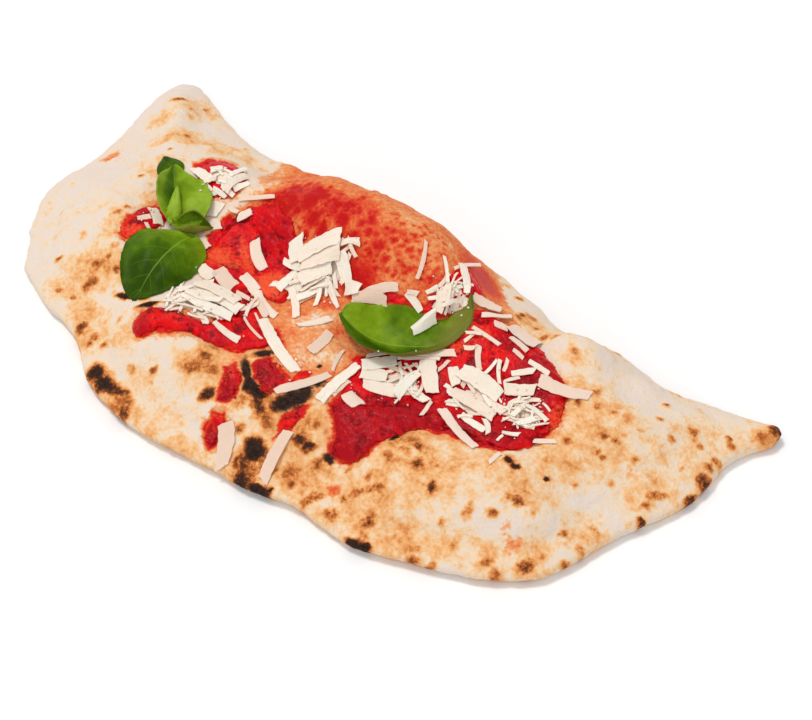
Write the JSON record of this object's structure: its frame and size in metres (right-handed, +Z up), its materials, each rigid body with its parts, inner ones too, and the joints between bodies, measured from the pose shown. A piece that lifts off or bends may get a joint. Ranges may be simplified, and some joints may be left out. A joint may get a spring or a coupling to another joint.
{
  "type": "calzone",
  "caption": "Baked calzone: dough folded into a half-moon with two horns, blistered and crimped, topped with tomato sauce, basil leaves and shaved cheese.",
  "frame": {"origin": "on the surface it rests on, under the middle of the whole", "axes": "+X from the broad horn to the pointed horn, -Y towards the crimped curved side, +Y towards the folded side, +Z up"},
  "size_m": [0.3342, 0.17, 0.0528],
  "materials": {
    "dough": "baked, floury, blistered and charred in spots",
    "sauce": "wet crushed tomato",
    "cheese": "dry hard cheese, shaved and grated",
    "basil": "fresh leaf, satin with lighter veins"
  },
  "bodies": {
    "root": {"dough": "dough", "sauce_front": "sauce", "sauce_middle": "sauce", "sauce_left": "sauce", "sauce_corner": "sauce", "sauce_side": "sauce", "sauce_crater": "sauce", "sauce_drip_high": "sauce", "sauce_drip_low": "sauce", "sauce_drip_right": "sauce", "cheese_corner": "cheese", "cheese_left": "cheese", "cheese_centre": "cheese", "cheese_front": "cheese", "cheese_right": "cheese", "cheese_fine": "cheese", "cheese_high": "cheese", "shaving_long": "cheese", "shaving_white": "cheese", "shaving_rim_left": "cheese", "shaving_rim_right": "cheese", "shaving_pool": "cheese", "shaving_drop": "cheese", "shaving_fold": "cheese", "shaving_dome": "cheese", "shaving_thin": "cheese", "shaving_crater": "cheese", "shaving_sliver": "cheese", "shaving_wedge": "cheese", "shaving_block": "cheese", "shaving_under": "cheese", "shaving_thread": "cheese", "shaving_round": "cheese", "shaving_leaf": "cheese", "basil_large": "basil", "basil_upper": "basil", "basil_tip": "basil", "basil_inner": "basil", "basil_curl": "basil", "basil_right": "basil"}
  },
  "joints": []
}
